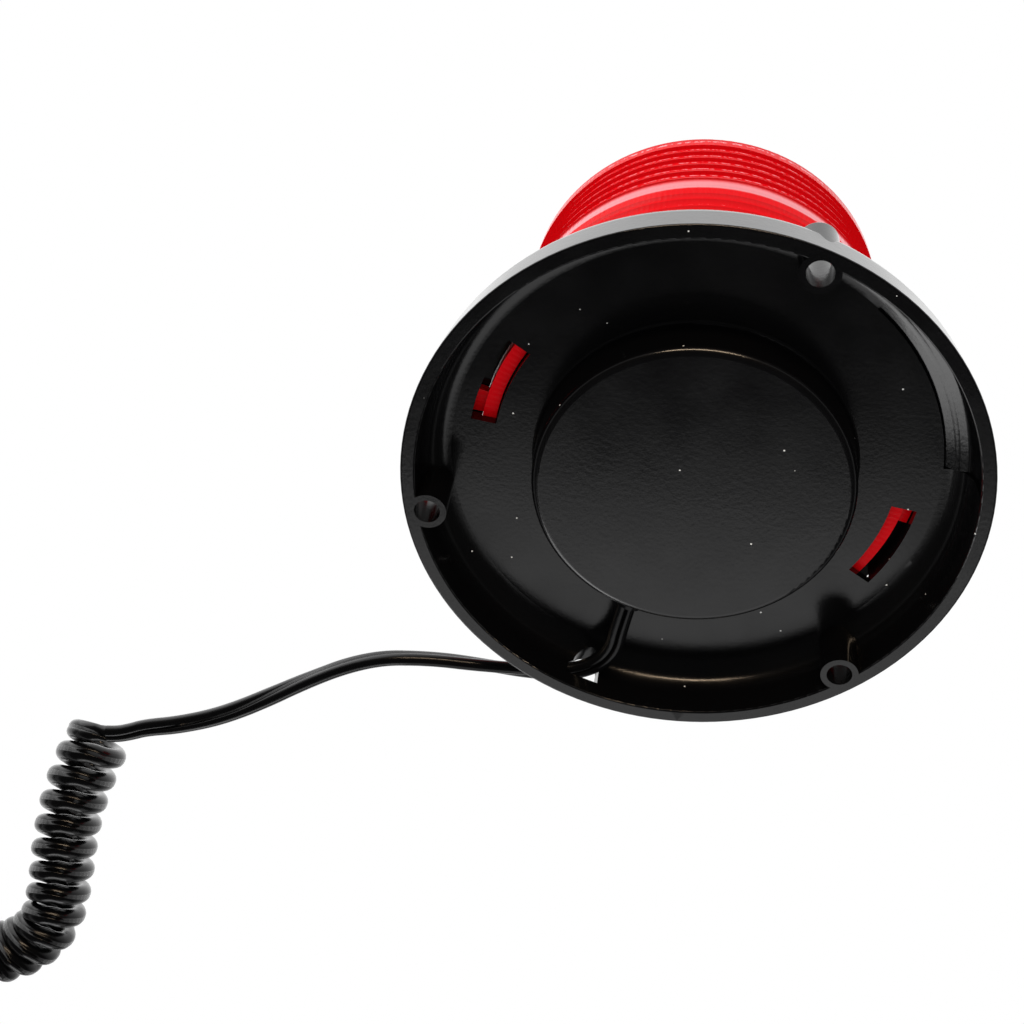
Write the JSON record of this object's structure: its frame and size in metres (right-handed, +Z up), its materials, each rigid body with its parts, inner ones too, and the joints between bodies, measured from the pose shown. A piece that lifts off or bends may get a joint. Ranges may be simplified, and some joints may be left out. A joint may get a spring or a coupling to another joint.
{
  "type": "rotating beacon",
  "caption": "Red ribbed rotating beacon on a black magnetic pan base, with a geared reflector turning round its lamp and a curly cord to a lighter plug.",
  "frame": {"origin": "centre of the rim face that the base stands on", "axes": "+Z up along the lens axis, +Y towards the side where the cord leaves the base"},
  "size_m": [0.3443, 0.2967, 0.1115],
  "materials": {
    "pan_plastic": "glossy moulded",
    "lens_plastic": "clear red, glossy",
    "seal_rubber": "matt",
    "zinc_sheet": "zinc plated",
    "screw_steel": "bright zinc",
    "natural_nylon": "satin",
    "gear_plastic": "satin",
    "bright_reflector": "mirror",
    "cord_rubber": "glossy",
    "ferrite": "matt",
    "brass": "satin",
    "insulator_board": "matt",
    "clear_glass": "clear",
    "tungsten": "dull",
    "bright_can": "satin",
    "lead_red": "satin",
    "lead_black": "satin",
    "plug_plastic": "satin",
    "nickel": "bright"
  },
  "bodies": {
    "base": {"base_pan": "pan_plastic", "bracket_pillars": "screw_steel", "bracket_screws": "screw_steel", "centre_hub": "natural_nylon", "chassis_plate": "zinc_sheet", "chassis_screws": "screw_steel", "cord_coil": "cord_rubber", "cord_end": "cord_rubber", "cord_grommet": "cord_rubber", "cord_tail": "cord_rubber", "cord_tube": "cord_rubber", "idler_axle": "screw_steel", "lamp_cap": "brass", "lamp_filament": "tungsten", "lamp_glass": "clear_glass", "lamp_holder": "brass", "lamp_insulator": "insulator_board", "lamp_lead": "lead_red", "lamp_plunger": "insulator_board", "lamp_spring": "screw_steel", "lens_seal": "seal_rubber", "magnet_ring": "ferrite", "magnet_screw": "screw_steel", "magnet_yoke": "zinc_sheet", "motor_bracket": "zinc_sheet", "motor_can": "bright_can", "motor_end_cap": "gear_plastic", "motor_lead": "lead_black", "plug_body": "plug_plastic", "plug_boot": "cord_rubber", "plug_nose_ring": "plug_plastic", "retaining_ring": "screw_steel"},
    "lens": {"lens": "lens_plastic"},
    "reflector": {"reflector_carrier": "gear_plastic", "reflector": "bright_reflector", "reflector_screws": "screw_steel"},
    "idler": {"idler_gear": "gear_plastic"},
    "rotor": {"motor_shaft": "screw_steel", "motor_pinion": "brass"},
    "plug_tip": {"plug_tip": "nickel", "plug_fuse": "clear_glass", "plug_spring": "screw_steel"},
    "plug_contact_left": {"plug_contact_left": "nickel"},
    "plug_contact_right": {"plug_contact_right": "nickel"}
  },
  "joints": [
    {"name": "lens_twist", "type": "hinge", "parent": "base", "child": "lens", "pos_m": [0, 0, 0.02], "axis": [0, 0, 1], "range_deg": [0, 30]},
    {"name": "reflector_spin", "type": "hinge", "parent": "base", "child": "reflector", "pos_m": [0, 0, 0.035], "axis": [0, 0, 1], "continuous": true},
    {"name": "idler_spin", "type": "hinge", "parent": "base", "child": "idler", "pos_m": [0.00581, 0.02328, 0.026], "axis": [0, 0, 1], "continuous": true},
    {"name": "motor_spin", "type": "hinge", "parent": "base", "child": "rotor", "pos_m": [-0.00564, 0.03201, 0.024], "axis": [0, 0, 1], "continuous": true},
    {"name": "plug_tip_press", "type": "slide", "parent": "base", "child": "plug_tip", "axis": [0, 1, 0], "range_m": [0, 0.0025], "stiffness_N_per_m": 600, "springref_m": -0.003},
    {"name": "plug_contact_left_press", "type": "slide", "parent": "base", "child": "plug_contact_left", "axis": [1, 0, 0], "range_m": [0, 0.0014], "stiffness_N_per_m": 800, "springref_m": -0.002},
    {"name": "plug_contact_right_press", "type": "slide", "parent": "base", "child": "plug_contact_right", "axis": [-1, 0, 0], "range_m": [0, 0.0014], "stiffness_N_per_m": 800, "springref_m": -0.002}
  ],
  "couplings": [
    {"joint": "idler_spin", "follows": "reflector_spin", "ratio": -4},
    {"joint": "motor_spin", "follows": "reflector_spin", "ratio": 12}
  ]
}
